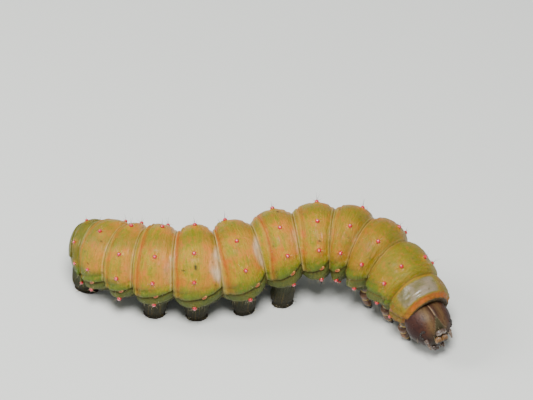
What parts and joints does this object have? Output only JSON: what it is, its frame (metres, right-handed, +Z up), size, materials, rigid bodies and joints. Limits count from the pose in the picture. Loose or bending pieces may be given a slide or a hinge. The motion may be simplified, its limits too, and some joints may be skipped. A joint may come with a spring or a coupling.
{
  "type": "giant silkworm",
  "caption": "Life-size giant silkworm at rest: plump ringed amber body with pink warts, stub prolegs, small jointed legs and a brown head bent to one side.",
  "frame": {"origin": "on the floor under the middle of the animal's overall box", "axes": "+X from the tail toward the head, +Z up out of the back, -Y to the animal's right, where the head is bent"},
  "size_m": [0.0582, 0.0246, 0.0155],
  "materials": {
    "skin": "soft, moist-looking satin skin, amber to orange-brown",
    "lower_skin": "soft satin skin, olive green",
    "head_shell": "hard satin-gloss shell, dark purplish brown",
    "pale_shell": "hard satin shell, straw to tan",
    "dark_shell": "hard satin shell, nearly black"
  },
  "bodies": {
    "root": {"abdomen_1": "skin", "abdomen_10": "skin", "abdomen_2": "skin", "abdomen_3": "skin", "abdomen_4": "skin", "abdomen_5": "skin", "abdomen_6": "skin", "abdomen_7": "skin", "abdomen_8": "skin", "abdomen_9": "skin", "antenna_left": "pale_shell", "antenna_right": "pale_shell", "clasper_left": "lower_skin", "clasper_right": "lower_skin", "head": "head_shell", "labium": "pale_shell", "labrum": "pale_shell", "leg_1_left": "dark_shell", "leg_1_right": "dark_shell", "leg_2_left": "dark_shell", "leg_2_right": "dark_shell", "leg_3_left": "dark_shell", "leg_3_right": "dark_shell", "mandible_left": "dark_shell", "mandible_right": "dark_shell", "mesothorax": "skin", "metathorax": "skin", "proleg_3_left": "lower_skin", "proleg_3_right": "lower_skin", "proleg_4_left": "lower_skin", "proleg_4_right": "lower_skin", "proleg_5_left": "lower_skin", "proleg_5_right": "lower_skin", "proleg_6_left": "lower_skin", "proleg_6_right": "lower_skin", "prothorax": "skin", "tail_plate": "lower_skin"}
  },
  "joints": []
}
